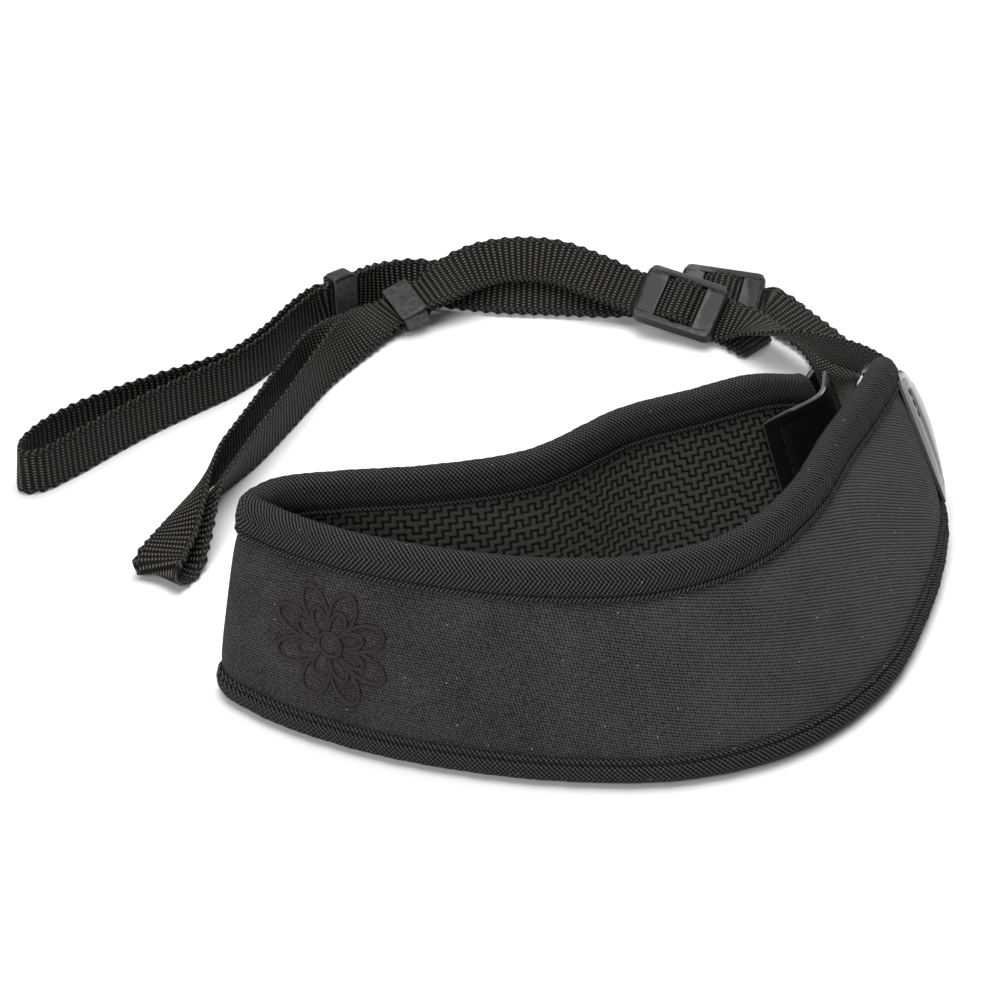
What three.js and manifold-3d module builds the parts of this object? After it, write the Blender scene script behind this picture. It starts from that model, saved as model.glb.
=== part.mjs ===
// Padded neck strap for a camera: a curved foam pad with bound edges, leather end tabs and two
// webbing straps, each threaded through a slider and a keeper and turned back into a loop.
// Millimetres, +Z up, lying on the floor. The pad stands on its long edge, folded near its middle.
import * as THREE from 'three';
import Module from 'manifold-3d';

const wasm = await Module();
wasm.setup();
const { Manifold, Mesh } = wasm;

const GAP = 0.3;

// Pad layers, measured across the wall from the middle of the bound edge; outside is positive.
const FOAM_OUT = 2.3;
const FOAM_IN = -0.9;
const LINING_OUT = FOAM_IN - GAP;
const LINING_IN = LINING_OUT - 1.0;
const TAPE = 1.0;
const TAPE_OUT = FOAM_OUT + GAP + TAPE;
const TAPE_IN = LINING_IN - GAP - TAPE;
const RIM = (TAPE_OUT - TAPE_IN) / 2;
const RIM_MIDDLE = (TAPE_OUT + TAPE_IN) / 2;
const TAPE_LEG_TOP = 6.6;
const TAPE_LEG_FOOT = 3.4;
const FOAM_CROWN = FOAM_OUT + 1.0;
const PAD_STEPS = 3;

// Sections of the foam and the lining: distance outside the wall, from the foot and from the top.
const FOAM_ROWS = [
  [FOAM_IN, 0, 0],
  [FOAM_IN + 0.8, -1, -1],
  [FOAM_OUT - 0.8, -1, -1],
  [FOAM_OUT, 0, 0],
  [FOAM_OUT, TAPE_LEG_FOOT + 0.4, TAPE_LEG_TOP + 0.4],
  [FOAM_CROWN, TAPE_LEG_FOOT + 4, TAPE_LEG_TOP + 4],
];
const LINING_ROWS = [
  [LINING_OUT, 0, 0],
  [LINING_IN, 0.2, 0.2],
];

const TAB = 1.6;
const TAB_STEPS = 7;

const WEB_WIDTH = 15;
const WEB = 1.4;
const LAYER = (WEB + GAP) / 2;
const WEB_STEPS = 3;

const SLIDER_LENGTH = 28;
const SLIDER_WIDTH = 19.6;
const SLIDER_BAR = 5;
const SLIDER_CENTRE_BAR = 4;
const SLIDER_RAIL = (SLIDER_WIDTH - WEB_WIDTH) / 2 - GAP;
const BAR_TOP = 2.4;
const BAR_FOOT = -0.2;
const CENTRE_FOOT = -2.2;
const WEAVE = 2.45;
const WEAVE_MIDDLE = -0.15;

const KEEPER_LENGTH = 9;
const KEEPER_WIDTH = 18.8;
const KEEPER_DEPTH = 6.6;

// The pad's wall, one row per line across it: middle of the bound foot edge, middle of the bound top
// edge. From beyond the back end, round the fold on the left, to beyond the front end.
// foot x, foot y, foot z, top x, top y, top z
const PAD_LINES = [
  [108.0, -8.0, 5.0, 91.0, -7.0, 47.0],
  [102.0, -14.0, 4.0, 84.5, -14.0, 49.2],
  [85.5, -27.0, 3.6, 69.5, -21.8, 53.4],
  [64.0, -37.5, 3.6, 52.5, -29.5, 53.2],
  [41.0, -47.5, 3.6, 33.3, -39.0, 53.4],
  [14.0, -67.0, 3.6, 8.5, -59.0, 53.4],
  [-15.0, -75.0, 3.6, -17.5, -66.3, 53.3],
  [-43.0, -76.5, 3.6, -42.0, -69.0, 53.2],
  [-62.0, -78.0, 3.6, -57.0, -72.0, 53.0],
  [-70.6, -86.8, 3.6, -62.8, -78.0, 52.6],
  [-60.5, -97.0, 3.6, -56.0, -84.0, 52.2],
  [-40.0, -108.0, 3.6, -40.5, -92.3, 52.0],
  [-17.0, -115.8, 3.6, -17.5, -100.0, 52.0],
  [15.0, -121.5, 3.6, 11.5, -104.8, 52.0],
  [46.5, -121.0, 3.6, 38.5, -103.0, 52.0],
  [75.0, -110.5, 3.6, 60.0, -92.0, 52.0],
  [98.5, -88.0, 3.6, 76.5, -71.0, 51.6],
  [113.5, -58.5, 3.6, 88.5, -45.5, 51.2],
  [122.5, -32.0, 3.6, 98.0, -27.0, 50.6],
  [125.8, -13.0, 3.6, 106.0, -8.5, 49.0],
  [123.6, 4.0, 5.0, 109.0, 5.5, 42.5],
  [121.0, 11.5, 6.0, 108.0, 11.5, 40.5],
];
const BACK_END = 1;
const FRONT_END = PAD_LINES.length - 2;

// Leather tabs: how far along the pad's lines each starts, and its lower and upper edge at the inner
// end and at the tip as shares of the wall's height.
// start, tip, low at start, high at start, low at tip, high at tip
const TAB_BACK = [1.9, 0.15, 0.14, 0.8, 0.16, 1.06];
const TAB_FRONT = [FRONT_END - 0.95, FRONT_END + 0.85, 0.22, 0.9, 0.2, 0.9];

// Straps, one row per place: middle of the webbing, then the direction across it towards one edge.
// x, y, z, across x, across y, across z
const FRONT_LEAD = [
  [119.2, 21.0, 25.0, -0.36, 0.05, 0.93],
  [115.5, 36.0, 22.8, -0.4, -0.05, 0.91],
  [108.8, 50.0, 19.0, -0.42, -0.15, 0.89],
  [100.8, 62.5, 14.8, -0.42, -0.32, 0.85],
  [92.2, 74.0, 11.6, -0.3, -0.78, 0.55],
  [84.0, 84.0, 9.0, -0.36, -0.92, 0.14],
  [79.6, 88.4, 8.2, -0.44, -0.86, -0.24],
];
const FRONT_BAND = [
  [32.0, 109.2, 13.9, -0.22, -0.72, -0.66],
  [17.0, 115.3, 16.1, -0.06, -0.7, -0.71],
  [1.0, 115.8, 16.2, 0.04, -0.7, -0.71],
  [-10.0, 112.4, 15.0, 0.2, -0.7, -0.68],
  [-19.0, 107.8, 12.0, 0.3, -0.84, -0.45],
];
const FRONT_LOOP = [
  [-40.6, 95.2, 5.9, 0.4, -0.89, -0.22],
  [-45.5, 86.0, 6.8, 0.34, -0.78, -0.52],
  [-55.4, 62.5, 7.9, 0.1, -0.28, -0.95],
  [-64.6, 37.6, 7.7, 0.0, 0.05, -1.0],
  [-72.6, 17.5, 7.7, -0.12, 0.05, -0.99],
  [-79.2, 3.0, 7.4, -0.38, 0.05, -0.92],
  [-84.2, -8.0, 7.0, -0.55, 0.2, -0.81],
  [-86.6, -17.0, 5.5, -0.74, 0.32, -0.59],
  [-89.0, -26.0, 3.4, -0.86, 0.46, -0.22],
  [-90.6, -33.6, 1.3, -0.84, 0.54, -0.02],
  [-93.4, -38.8, 1.8, -0.84, 0.54, 0.0],
  [-94.8, -41.2, 3.6, -0.84, 0.54, 0.0],
  [-95.2, -39.8, 5.4, -0.85, 0.53, -0.02],
  [-95.0, -36.0, 6.0, -0.86, 0.5, -0.06],
  [-92.4, -27.0, 6.6, -0.87, 0.42, -0.22],
  [-90.2, -16.5, 7.5, -0.74, 0.4, -0.52],
  [-87.6, -4.0, 8.0, -0.53, 0.2, -0.82],
  [-82.6, 9.0, 7.9, -0.12, 0.03, -0.99],
  [-75.2, 29.6, 7.7, 0.02, 0.04, -1.0],
  [-67.3, 53.2, 8.2, 0.0, -0.05, -1.0],
  [-60.0, 69.8, 7.8, 0.15, -0.35, -0.92],
  [-49.2, 86.2, 5.5, 0.34, -0.8, -0.5],
  [-41.4, 95.6, 3.7, 0.4, -0.89, -0.22],
];
const FRONT_TAIL = [
  [84.0, 84.2, 1.3, -0.54, -0.84, -0.06],
];
const BACK_LEAD = [
  [103.2, 8.0, 21.5, -0.05, 0.1, -0.99],
  [104.0, 26.0, 14.5, -0.34, 0.0, -0.94],
  [104.5, 45.0, 7.4, -0.7, 0.0, -0.71],
  [107.5, 64.0, 4.0, -0.91, 0.05, -0.4],
  [105.5, 82.0, 3.0, -0.93, -0.3, -0.2],
  [97.4, 95.0, 4.1, -0.68, -0.7, -0.22],
];
const BACK_BAND = [
  [45.5, 112.0, 5.6, -0.12, -0.85, -0.5],
  [33.0, 110.0, 6.6, 0.0, -0.72, -0.69],
  [17.0, 111.4, 6.6, 0.0, -0.7, -0.71],
  [0.0, 112.6, 6.6, 0.02, -0.7, -0.71],
  [-15.0, 115.0, 6.9, 0.05, -0.66, -0.75],
  [-28.0, 117.4, 7.5, 0.1, -0.45, -0.89],
  [-39.5, 113.8, 8.1, 0.16, -0.22, -0.96],
];
const BACK_LOOP = [
  [-60.3, 95.0, 8.9, 0.03, -0.03, -1.0],
  [-67.0, 84.4, 8.5, 0.0, 0.0, -1.0],
  [-73.6, 71.8, 7.7, 0.0, 0.0, -1.0],
  [-83.2, 58.2, 7.7, 0.0, 0.0, -1.0],
  [-94.0, 47.8, 7.7, 0.0, 0.0, -1.0],
  [-106.0, 36.4, 7.7, 0.0, 0.0, -1.0],
  [-117.5, 23.8, 7.7, 0.0, 0.0, -1.0],
  [-128.0, 11.6, 7.7, 0.0, 0.0, -1.0],
  [-135.6, 4.2, 7.7, -0.05, 0.0, -1.0],
  [-140.6, 3.6, 7.7, -0.1, 0.0, -0.99],
  [-142.2, 9.0, 7.7, -0.14, 0.02, -0.99],
  [-138.4, 18.0, 7.7, -0.08, 0.04, -0.99],
  [-131.0, 26.6, 7.7, 0.0, 0.0, -1.0],
  [-119.0, 37.0, 7.7, 0.0, 0.0, -1.0],
  [-105.6, 46.4, 7.7, 0.0, 0.0, -1.0],
  [-94.2, 53.2, 7.7, 0.0, 0.0, -1.0],
  [-83.6, 61.8, 7.7, 0.0, 0.0, -1.0],
  [-75.4, 74.4, 7.7, 0.0, 0.0, -1.0],
  [-69.0, 86.1, 8.5, 0.0, 0.0, -1.0],
  [-62.0, 96.8, 8.9, 0.03, -0.03, -1.0],
];
const BACK_TAIL = [
  [98.5, 101.0, 2.3, -0.6, -0.78, -0.15],
];

// Where the plastic parts sit: middle, heading in plan, climb and lean, in degrees.
// x, y, z, heading, climb, lean
const SLIDER_FRONT = [59.2, 97.5, 10.3, -23, -7, 32.5];
const SLIDER_BACK = [73.2, 109.1, 6.9, -17, 0, 20];
const KEEPER_FRONT = [-31.0, 102.2, 7.0, 24, 19, 7];
const KEEPER_BACK = [-52.4, 102.2, 9.7, 40, 0, 88];

const rad = THREE.MathUtils.degToRad;
const vec = (x, y, z) => new THREE.Vector3(x, y, z);
const steps = (count) => Array.from({ length: count + 1 }, (_, i) => i / count);
const mix = THREE.MathUtils.lerp;
const ease = THREE.MathUtils.smoothstep;

// Closed solid over a run of rings with the same number of points.
function skin(rings, profile) {
  const count = rings[0].length;
  const position = rings.flat().flatMap((p) => [p.x, p.y, p.z]);
  const index = [];
  for (let i = 0; i + 1 < rings.length; i += 1) {
    for (let k = 0; k < count; k += 1) {
      const a = i * count + k;
      const b = i * count + ((k + 1) % count);
      index.push(a, b, b + count, a, b + count, a + count);
    }
  }
  const last = (rings.length - 1) * count;
  const area = THREE.ShapeUtils.area(profile);
  for (const face of THREE.ShapeUtils.triangulateShape(profile, [])) {
    const turned = THREE.ShapeUtils.area(face.map((k) => profile[k])) * area < 0;
    const [a, b, c] = turned ? face.reverse() : face;
    index.push(a, c, b, last + a, last + b, last + c);
  }
  return facingOut(position, index);
}

// Geometry with its faces turned outwards.
function facingOut(position, index) {
  let volume = 0;
  for (let i = 0; i < index.length; i += 3) {
    const [a, b, c] = [0, 1, 2].map((k) => vec(...position.slice(3 * index[i + k], 3 * index[i + k] + 3)));
    volume += a.dot(b.cross(c));
  }
  if (volume < 0) {
    index.reverse();
  }
  const geometry = new THREE.BufferGeometry();
  geometry.setAttribute('position', new THREE.Float32BufferAttribute(position, 3));
  geometry.setIndex(index);
  return geometry;
}

const footEdge = new THREE.CatmullRomCurve3(PAD_LINES.map((row) => vec(row[0], row[1], row[2])));
const topEdge = new THREE.CatmullRomCurve3(PAD_LINES.map((row) => vec(row[3], row[4], row[5])));

// The pad's wall at a line: foot, direction up the wall, its height and its outward direction.
function wallAt(line) {
  const share = line / (PAD_LINES.length - 1);
  const foot = footEdge.getPoint(share);
  const top = topEdge.getPoint(share);
  const height = foot.distanceTo(top);
  const rise = top.clone().sub(foot).divideScalar(height);
  const along = footEdge.getTangent(share).add(topEdge.getTangent(share));
  const out = along.cross(rise).normalize();
  return { foot, rise, height, out };
}

// A point on the pad, by height up the wall and distance outside it.
function onWall(wall, up, outside) {
  return wall.foot.clone().addScaledVector(wall.rise, up).addScaledVector(wall.out, outside);
}

const padLines = steps((FRONT_END - BACK_END) * PAD_STEPS).map((s) => mix(BACK_END, FRONT_END, s));

// A layer of the pad, from rows of distance outside its wall and distance from its foot and top edges.
function padLayer(rows) {
  const ring = (height) => [
    ...rows.map(([outside, foot]) => [outside, foot]),
    ...rows.map(([outside, , top]) => [outside, height - top]).reverse(),
  ];
  const rings = padLines.map((line) => {
    const wall = wallAt(line);
    return ring(wall.height).map(([outside, up]) => onWall(wall, up, outside));
  });
  return skin(rings, ring(50).map(([outside, up]) => new THREE.Vector2(outside, up)));
}

// Bound edge: tape folded over the foot or the top of the pad.
function binding(leg, top) {
  const bend = steps(4).map((s) => rad(180 * s));
  const side = (radius) => [
    new THREE.Vector2(RIM_MIDDLE + radius, leg),
    ...bend.map((a) => new THREE.Vector2(RIM_MIDDLE + radius * Math.cos(a), -radius * Math.sin(a))),
    new THREE.Vector2(RIM_MIDDLE - radius, leg),
  ];
  const profile = [...side(RIM), ...side(RIM - TAPE).reverse()];
  const rings = padLines.map((line) => {
    const wall = wallAt(line);
    return profile.map((p) => onWall(wall, top ? wall.height - p.y : p.y, p.x));
  });
  return skin(rings, profile);
}

// Leather tab laid over the pad's end and drawn in to the webbing beyond it.
function tab(spec, end, side) {
  const [start, tip, lowStart, highStart, lowTip, highTip] = spec;
  const over = side > 0 ? TAPE_OUT + GAP : GAP - TAPE_IN;
  const hug = WEB / 2 + 3 * GAP;
  const profile = [0, 0.33, 0.67, 1].flatMap((h) => [new THREE.Vector2(h, 0)]);
  const rings = steps(TAB_STEPS).map((s) => {
    const line = mix(start, tip, s);
    const wall = wallAt(line);
    const past = ease(Math.abs(line - start), Math.abs(end - start), Math.abs(tip - start));
    const face = mix(over, hug, past);
    const low = mix(lowStart, lowTip, s) * wall.height;
    const high = mix(highStart, highTip, s) * wall.height;
    const inner = profile.map((p) => onWall(wall, mix(low, high, p.x), side * face));
    const outer = profile.map((p) => onWall(wall, mix(low, high, p.x), side * (face + TAB)));
    return [...inner, ...outer.reverse()];
  });
  const flat = [...profile, ...profile.map((p) => new THREE.Vector2(p.x, TAB)).reverse()];
  return skin(rings, flat);
}

// Axes of a plastic part: along the webbing, across it and out of its face.
function seat([x, y, z, heading, climb, lean]) {
  const h = rad(heading);
  const c = rad(climb);
  const along = vec(Math.cos(c) * Math.cos(h), Math.cos(c) * Math.sin(h), Math.sin(c));
  const level = vec(Math.sin(h), -Math.cos(h), 0);
  const above = level.clone().cross(along);
  const tilt = rad(lean);
  const across = level.clone().multiplyScalar(Math.cos(tilt)).addScaledVector(above, -Math.sin(tilt));
  const face = across.clone().cross(along);
  return { middle: vec(x, y, z), along, across, face };
}

// Place on the webbing inside a plastic part: distance along it and out of its face.
function placeIn(at, along, out) {
  const middle = at.middle.clone().addScaledVector(at.along, along).addScaledVector(at.face, out);
  return { middle, across: at.across };
}

const place = ([x, y, z, ax, ay, az]) => ({ middle: vec(x, y, z), across: vec(ax, ay, az) });

// Height of the doubled webbing as it goes under a slider's bars and over its centre bar.
function weave(along) {
  const reach = SLIDER_LENGTH / 2 - SLIDER_BAR / 2;
  const turn = Math.PI * Math.min(Math.abs(along) / reach, 1);
  return WEAVE_MIDDLE + WEAVE * Math.cos(turn);
}

const KEEPER_STOPS = [6, 0, -6];
const SLIDER_STOPS = [16.5, 14, 11.5, 9, 7, 5, 3, 1, -1, -3, -5, -7, -9, -11.5, -14, -18];

// Smooth run of places through rows, each with its direction across the webbing and out of its face.
function run(places, count) {
  const path = new THREE.CatmullRomCurve3(places.map((p) => p.middle));
  const turn = new THREE.CatmullRomCurve3(places.map((p) => p.across));
  return steps(count).map((s) => {
    const middle = path.getPoint(s);
    const along = path.getTangent(s);
    const across = turn.getPoint(s);
    across.addScaledVector(along, -across.dot(along)).normalize();
    const face = across.clone().cross(along);
    return { middle, along, across, face };
  });
}

// Webbing of constant width and thickness along a run of places.
function webbing(places) {
  const half = WEB_WIDTH / 2;
  const profile = [
    new THREE.Vector2(-half, -WEB / 2),
    new THREE.Vector2(half, -WEB / 2),
    new THREE.Vector2(half, WEB / 2),
    new THREE.Vector2(-half, WEB / 2),
  ];
  const rings = run(places, (places.length - 1) * WEB_STEPS).map((p) => profile.map((q) => {
    return p.middle.clone().addScaledVector(p.across, q.x).addScaledVector(p.face, q.y);
  }));
  return skin(rings, profile);
}

// A whole strap: out from the pad, through slider and keeper, round the loop and back to its tail.
function strap({ root, lead, slider, band, keeper, loop, tail }) {
  const frame = seat(slider);
  const ring = seat(keeper);
  const inSlider = SLIDER_STOPS.map((u) => placeIn(frame, u, weave(u)));
  const inKeeper = KEEPER_STOPS.map((u) => placeIn(ring, u, 0));
  const shared = [...inSlider, ...band.map(place), ...inKeeper];
  const middles = run(shared, shared.length - 1);
  const layer = (out) => middles.map((p, i) => {
    const spread = i === 0 ? 1.4 * out : out;
    return { middle: p.middle.clone().addScaledVector(p.face, spread), across: p.across };
  });
  const there = layer(-LAYER);
  const back = layer(LAYER).reverse();
  return webbing([...root, ...lead.map(place), ...there, ...loop.map(place), ...back, ...tail.map(place)]);
}

// Webbing's root at a pad end, held between the tabs.
function rootAt(end, outwards, turned) {
  return [0.3, 0.65, 1].map((d) => {
    const wall = wallAt(end + outwards * d);
    return { middle: onWall(wall, wall.height / 2, 0), across: wall.rise.clone().multiplyScalar(turned) };
  });
}

function solid(geometry) {
  const vertProperties = new Float32Array(geometry.attributes.position.array);
  const triVerts = new Uint32Array(geometry.index.array);
  return new Manifold(new Mesh({ numProp: 3, vertProperties, triVerts }));
}

function fromSolid(body) {
  const mesh = body.getMesh();
  return facingOut([...mesh.vertProperties], [...mesh.triVerts]);
}

// Rectangle with rounded corners.
function roundedBox(left, right, foot, top, r) {
  const corners = [
    [right - r, foot + r, -90],
    [right - r, top - r, 0],
    [left + r, top - r, 90],
    [left + r, foot + r, 180],
  ];
  return corners.flatMap(([x, y, turn]) => steps(2).map((s) => {
    const a = rad(turn + 90 * s);
    return new THREE.Vector2(x + r * Math.cos(a), y + r * Math.sin(a));
  }));
}

// Bar or rail: outline in along and out, run across the part.
function bar(from, to, foot, top, start, length) {
  const profile = roundedBox(from, to, foot, top, 0.7);
  const rings = [start, start + length].map((v) => profile.map((p) => vec(p.x, v, p.y)));
  return solid(skin(rings, profile));
}

function seated(geometry, spec) {
  const at = seat(spec);
  geometry.applyMatrix4(new THREE.Matrix4().makeBasis(at.along, at.across.clone().negate(), at.face));
  geometry.translate(at.middle.x, at.middle.y, at.middle.z);
  return geometry;
}

// Slider: two side rails, a bar at each end and a lower bar across the middle.
function slider(spec) {
  const half = SLIDER_LENGTH / 2;
  const edge = SLIDER_WIDTH / 2;
  const inside = SLIDER_WIDTH - SLIDER_RAIL;
  const body = Manifold.union([
    bar(-half, half, CENTRE_FOOT, BAR_TOP, -edge, SLIDER_RAIL),
    bar(-half, half, CENTRE_FOOT, BAR_TOP, edge - SLIDER_RAIL, SLIDER_RAIL),
    bar(-half, SLIDER_BAR - half, BAR_FOOT, BAR_TOP, -inside / 2, inside),
    bar(half - SLIDER_BAR, half, BAR_FOOT, BAR_TOP, -inside / 2, inside),
    bar(-SLIDER_CENTRE_BAR / 2, SLIDER_CENTRE_BAR / 2, CENTRE_FOOT, BAR_FOOT, -inside / 2, inside),
  ]);
  return seated(fromSolid(body), spec);
}

// Keeper: a flat ring round both layers of webbing.
function keeper(spec) {
  const block = (width, depth, r, half) => {
    const outline = roundedBox(-width / 2, width / 2, -depth / 2, depth / 2, r);
    const rings = [-half, half].map((u) => outline.map((p) => vec(u, p.x, p.y)));
    return solid(skin(rings, outline));
  };
  const hole = block(WEB_WIDTH + 3 * GAP, 2 * WEB + 4 * GAP, 0.4, KEEPER_LENGTH);
  const body = block(KEEPER_WIDTH, KEEPER_DEPTH, 1.2, KEEPER_LENGTH / 2).subtract(hole);
  return seated(fromSolid(body), spec);
}

const material = (colour, roughness) => new THREE.MeshStandardMaterial({ color: colour, roughness });
const KNIT = material(0x1d1b1d, 0.95);
const TAPE_CLOTH = material(0x1b191b, 0.95);
const GRIP = material(0x23251f, 0.8);
const LEATHER = material(0x101312, 0.35);
const NYLON = material(0x1c1a16, 0.85);
const PLASTIC = material(0x2a2b2b, 0.45);

const strapFront = strap({
  root: rootAt(FRONT_END, 1, 1),
  lead: FRONT_LEAD,
  slider: SLIDER_FRONT,
  band: FRONT_BAND,
  keeper: KEEPER_FRONT,
  loop: FRONT_LOOP,
  tail: FRONT_TAIL,
});
const strapBack = strap({
  root: rootAt(BACK_END, -1, -1),
  lead: BACK_LEAD,
  slider: SLIDER_BACK,
  band: BACK_BAND,
  keeper: KEEPER_BACK,
  loop: BACK_LOOP,
  tail: BACK_TAIL,
});

const pieces = [
  ['pad_foam', padLayer(FOAM_ROWS), KNIT],
  ['pad_lining', padLayer(LINING_ROWS), GRIP],
  ['binding_top', binding(TAPE_LEG_TOP, true), TAPE_CLOTH],
  ['binding_foot', binding(TAPE_LEG_FOOT, false), TAPE_CLOTH],
  ['tab_front_outer', tab(TAB_FRONT, FRONT_END, 1), LEATHER],
  ['tab_front_inner', tab(TAB_FRONT, FRONT_END, -1), LEATHER],
  ['tab_back_outer', tab(TAB_BACK, BACK_END, 1), LEATHER],
  ['tab_back_inner', tab(TAB_BACK, BACK_END, -1), LEATHER],
  ['strap_front', strapFront, NYLON],
  ['strap_back', strapBack, NYLON],
  ['slider_front', slider(SLIDER_FRONT), PLASTIC],
  ['slider_back', slider(SLIDER_BACK), PLASTIC],
  ['keeper_front', keeper(KEEPER_FRONT), PLASTIC],
  ['keeper_back', keeper(KEEPER_BACK), PLASTIC],
];

// Stand the strap on the floor with the middle of its outline at the origin.
const box = new THREE.Box3();
for (const [, geometry] of pieces) {
  geometry.computeBoundingBox();
  box.union(geometry.boundingBox);
}
const centre = box.getCenter(vec(0, 0, 0));
const group = new THREE.Group();
for (const [name, geometry, cloth] of pieces) {
  geometry.translate(-centre.x, -centre.y, -box.min.z);
  geometry.computeVertexNormals();
  const mesh = new THREE.Mesh(geometry, cloth);
  mesh.name = name;
  group.add(mesh);
}

export default group;
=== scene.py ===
"""Camera neck strap lying folded on a table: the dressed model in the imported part's frame."""
import math

import bmesh
import bpy
import numpy as np
from mathutils import Matrix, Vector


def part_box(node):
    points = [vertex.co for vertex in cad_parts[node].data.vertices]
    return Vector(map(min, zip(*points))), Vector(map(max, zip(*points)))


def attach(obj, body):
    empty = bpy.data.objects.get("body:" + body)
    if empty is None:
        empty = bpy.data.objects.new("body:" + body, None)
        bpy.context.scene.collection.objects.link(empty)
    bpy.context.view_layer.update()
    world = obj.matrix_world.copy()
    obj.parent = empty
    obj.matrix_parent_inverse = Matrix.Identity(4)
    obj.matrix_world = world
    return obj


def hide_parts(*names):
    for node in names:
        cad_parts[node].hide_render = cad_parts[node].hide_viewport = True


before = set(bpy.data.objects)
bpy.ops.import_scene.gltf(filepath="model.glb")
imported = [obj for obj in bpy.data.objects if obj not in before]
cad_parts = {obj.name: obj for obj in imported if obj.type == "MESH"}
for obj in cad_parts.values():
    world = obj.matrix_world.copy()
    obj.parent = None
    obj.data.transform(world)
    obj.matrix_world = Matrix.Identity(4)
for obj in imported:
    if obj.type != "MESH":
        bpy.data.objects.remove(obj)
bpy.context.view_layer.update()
MM = 0.001
TURN = 2 * math.pi
GAP = 0.3

# Pad layers in millimetres across the wall from the middle of the bound edge, outside positive.
FOAM_OUT = 2.3
FOAM_IN = -0.9
FOAM_CROWN = 3.5
LINING_OUT = FOAM_IN - GAP
LINING_IN = LINING_OUT - 1.0
TAPE = 1.0
TAPE_OUT = FOAM_OUT + GAP + TAPE
TAPE_IN = LINING_IN - GAP - TAPE
RIM = (TAPE_OUT - TAPE_IN) / 2
RIM_MIDDLE = (TAPE_OUT + TAPE_IN) / 2
TAPE_LEG_TOP = 6.6
TAPE_LEG_FOOT = 3.4
TAPE_GROOVE = 1.25
FACE_TUCK = 1.5
LINING_MARGIN = 1

# The pad is a crescent cut from straight cloth; this is the radius of the cut.
CLOTH_BEND = 283

# Leather tabs: thickness, how far they press on the pad, rough length, and the seam's pressed line.
TAB = 1.6
TAB_TUCK = 0.15
TAB_SPAN = 30
TAB_STEPS = 48
TAB_SEAM = 3.4
SEAM_DEPTH = 0.4
SEAM_WIDTH = 0.6
SEAM_STITCHES = 9

# Webbing: size, spacing of its weft and warp, and the relief of the weave and the selvages.
WEB_WIDTH = 15
WEB = 1.4
LAYER = (WEB + GAP) / 2
PICK = 1.95
END_SPACING = 1.0
SELVAGE = 0.9
BEAD_RELIEF = 0.24
RIB_RELIEF = 0.05
WEAVE_DROP = 0.13
SELVAGE_RELIEF = 0.12
SCALLOP = 0.33
RUN_STEPS = 24

# Plastic parts: sizes, rounding, and the lip and hollow of the slider's end bars.
SLIDER_LENGTH = 28
SLIDER_WIDTH = 19.6
SLIDER_CORNER = 3.0
SLIDER_BAR = 5
SLIDER_SHOULDER = 1.3
SLIDER_LIP = 2.4
LIP_INSIDE = 0.7
LIP_OUTSIDE = 0.9
SLIDER_RIM = [0.8, 1.95]
SLIDER_HOLLOW = 0.7
KEEPER_LENGTH = 9
KEEPER_WIDTH = 18.8
KEEPER_CORNER = 2.0
MOULDED_EDGE = 0.6

# Cloth: spacing of the jersey's courses and stitches and of the tape's cords, all in millimetres.
COURSE = 0.8
STITCH = 1.1
TAPE_CORD = 1.2
TAPE_SLANT = 1.45
TAPE_RIDGE = 7.0
STITCH_OUT = 0.7

# How the webbing weaves through a slider, and the places along slider and keeper that it passes.
WEAVE = 2.45
WEAVE_MIDDLE = -0.15
KEEPER_STOPS = [6, 0, -6]
SLIDER_STOPS = [16.5, 14, 11.5, 9, 7, 5, 3, 1, -1, -3, -5, -7, -9, -11.5, -14, -18]

# The pad's wall, one row per line across it: middle of the bound foot edge, middle of the bound top
# edge. From beyond the back end, round the fold on the left, to beyond the front end.
# foot x, foot y, foot z, top x, top y, top z
PAD_LINES = [
    [108.0, -8.0, 5.0, 91.0, -7.0, 47.0],
    [102.0, -14.0, 4.0, 84.5, -14.0, 49.2],
    [85.5, -27.0, 3.6, 69.5, -21.8, 53.4],
    [64.0, -37.5, 3.6, 52.5, -29.5, 53.2],
    [41.0, -47.5, 3.6, 33.3, -39.0, 53.4],
    [14.0, -67.0, 3.6, 8.5, -59.0, 53.4],
    [-15.0, -75.0, 3.6, -17.5, -66.3, 53.3],
    [-43.0, -76.5, 3.6, -42.0, -69.0, 53.2],
    [-62.0, -78.0, 3.6, -57.0, -72.0, 53.0],
    [-70.6, -86.8, 3.6, -62.8, -78.0, 52.6],
    [-60.5, -97.0, 3.6, -56.0, -84.0, 52.2],
    [-40.0, -108.0, 3.6, -40.5, -92.3, 52.0],
    [-17.0, -115.8, 3.6, -17.5, -100.0, 52.0],
    [15.0, -121.5, 3.6, 11.5, -104.8, 52.0],
    [46.5, -121.0, 3.6, 38.5, -103.0, 52.0],
    [75.0, -110.5, 3.6, 60.0, -92.0, 52.0],
    [98.5, -88.0, 3.6, 76.5, -71.0, 51.6],
    [113.5, -58.5, 3.6, 88.5, -45.5, 51.2],
    [122.5, -32.0, 3.6, 98.0, -27.0, 50.6],
    [125.8, -13.0, 3.6, 106.0, -8.5, 49.0],
    [123.6, 4.0, 5.0, 109.0, 5.5, 42.5],
    [121.0, 11.5, 6.0, 108.0, 11.5, 40.5],
]
BACK_END = 1
FRONT_END = len(PAD_LINES) - 2

# Leather tabs, by lines along the pad and by shares of its height.
# start, tip, low at start, high at start, low at tip, high at tip
TAB_BACK = [1.9, 0.15, 0.14, 0.8, 0.16, 1.06]
TAB_BACK_INNER = [2.15, 0.15, 0.14, 0.8, 0.16, 1.06]
TAB_FRONT_OUTER = [FRONT_END - 0.95, FRONT_END + 0.85, 0.05, 0.9, 0.2, 0.9]
TAB_FRONT_INNER = [FRONT_END - 0.95, FRONT_END + 0.85, 0.22, 1.03, 0.2, 1.03]

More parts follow.
